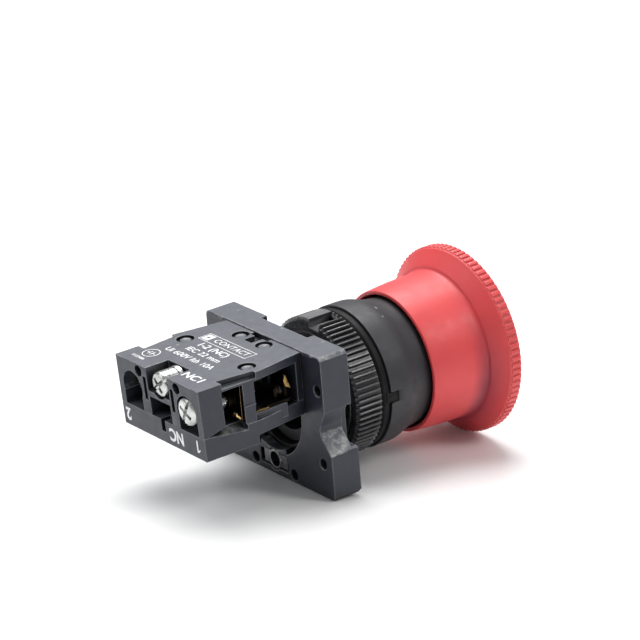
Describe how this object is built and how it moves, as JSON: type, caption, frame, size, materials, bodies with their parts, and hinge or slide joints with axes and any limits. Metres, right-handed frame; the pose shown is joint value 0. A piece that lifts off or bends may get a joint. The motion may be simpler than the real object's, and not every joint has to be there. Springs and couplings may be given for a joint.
{
  "type": "emergency stop button",
  "caption": "Panel-mounted red mushroom emergency stop button that turns to release, with its ring nut, mounting collar and a normally closed contact block.",
  "frame": {"origin": "on the button's axis, at the bezel's rear flange face, which is the front of the panel it is fitted to", "axes": "-Y out through the mushroom head, +Y to the contact block, +Z to the printed face of the contact block, X along the block's width"},
  "size_m": [0.0404, 0.0762, 0.04],
  "materials": {
    "red_plastic": "semi-matte",
    "black_plastic": "satin",
    "block_plastic": "matte",
    "white_plastic": "natural nylon",
    "seal_rubber": "smooth",
    "nickel": "bright plated",
    "brass": "stamped",
    "silver": "contact silver",
    "spring_steel": "drawn wire"
  },
  "bodies": {
    "operator": {"bezel_body": "black_plastic", "gasket": "seal_rubber", "latch_cage": "white_plastic", "latch_pin_spring_1": "spring_steel", "latch_pin_spring_2": "spring_steel", "return_spring": "spring_steel", "collar": "block_plastic", "collar_insert_1": "nickel", "collar_insert_2": "nickel", "block_base": "block_plastic", "block_cover": "block_plastic", "terminal_plate_1": "brass", "terminal_plate_2": "brass", "fixed_contact_1": "silver", "fixed_contact_2": "silver", "plunger_spring": "spring_steel"},
    "push_rod": {"pusher": "black_plastic"},
    "head": {"mushroom_cap": "red_plastic", "stem": "white_plastic"},
    "latch_1": {"latch_pin_1": "nickel"},
    "latch_2": {"latch_pin_2": "nickel"},
    "nut": {"ring_nut": "black_plastic"},
    "plunger": {"contact_plunger": "white_plastic", "bridge_spring": "spring_steel"},
    "bridge": {"contact_bridge": "brass", "bridge_contact_1": "silver", "bridge_contact_2": "silver"},
    "clamp_1": {"clamp_washer_1": "nickel"},
    "screw_1": {"terminal_screw_1": "nickel"},
    "clamp_2": {"clamp_washer_2": "nickel"},
    "screw_2": {"terminal_screw_2": "nickel"},
    "fixing_washer": {"block_screw_washer": "nickel"},
    "fixing_screw": {"block_screw": "nickel"}
  },
  "joints": [
    {"name": "head_push", "type": "slide", "parent": "operator", "child": "push_rod", "axis": [0, 1, 0], "range_m": [0, 0.0037], "stiffness_N_per_m": 2500, "springref_m": -0.004, "deforming": ["return_spring"]},
    {"name": "head_turn", "type": "hinge", "parent": "push_rod", "child": "head", "pos_m": [0, 0, 0], "axis": [0, 1, 0], "range_deg": [0, 30], "stiffness_Nm_per_rad": 0.05},
    {"name": "latch_pin_1_slide", "type": "slide", "parent": "operator", "child": "latch_1", "axis": [1, 0, 0], "range_m": [0, 0.00056], "deforming": ["latch_pin_spring_1"]},
    {"name": "latch_pin_2_slide", "type": "slide", "parent": "operator", "child": "latch_2", "axis": [-1, 0, 0], "range_m": [0, 0.00056], "deforming": ["latch_pin_spring_2"]},
    {"name": "ring_nut_turn", "type": "hinge", "parent": "operator", "child": "nut", "pos_m": [0, 0.005, 0], "axis": [0, 1, 0], "range_deg": [0, 936]},
    {"name": "plunger_travel", "type": "slide", "parent": "operator", "child": "plunger", "axis": [0, 1, 0], "range_m": [0, 0.00372], "deforming": ["plunger_spring", "bridge_spring"]},
    {"name": "bridge_travel", "type": "slide", "parent": "operator", "child": "bridge", "axis": [0, 1, 0], "range_m": [0, 0.00223]},
    {"name": "clamp_1_travel", "type": "slide", "parent": "operator", "child": "clamp_1", "axis": [0, -1, 0], "range_m": [0, 0.003]},
    {"name": "terminal_screw_1_turn", "type": "hinge", "parent": "clamp_1", "child": "screw_1", "pos_m": [-0.0094, 0.0448, 0.0091], "axis": [0, -1, 0], "range_deg": [0, 1801]},
    {"name": "clamp_2_travel", "type": "slide", "parent": "operator", "child": "clamp_2", "axis": [0, 1, 0], "range_m": [0, 0.003]},
    {"name": "terminal_screw_2_turn", "type": "hinge", "parent": "clamp_2", "child": "screw_2", "pos_m": [0.0094, 0.0418, 0.0091], "axis": [0, 1, 0], "range_deg": [0, 1801]},
    {"name": "fixing_washer_travel", "type": "slide", "parent": "operator", "child": "fixing_washer", "axis": [0, 1, 0], "range_m": [0, 0.0024]},
    {"name": "block_screw_turn", "type": "hinge", "parent": "fixing_washer", "child": "fixing_screw", "pos_m": [0, 0.0443, 0.012], "axis": [0, 1, 0], "range_deg": [0, 1441]}
  ],
  "couplings": [
    {"joint": "latch_pin_1_slide", "follows": "head_push", "ratio": 0.1486},
    {"joint": "latch_pin_2_slide", "follows": "head_push", "ratio": 0.1486},
    {"joint": "plunger_travel", "follows": "head_push", "ratio": 1},
    {"joint": "bridge_travel", "follows": "head_push", "ratio": 0.6},
    {"joint": "terminal_screw_1_turn", "follows": "clamp_1_travel", "rad_per_m": 10472},
    {"joint": "terminal_screw_2_turn", "follows": "clamp_2_travel", "rad_per_m": 10472},
    {"joint": "block_screw_turn", "follows": "fixing_washer_travel", "rad_per_m": 10472}
  ]
}
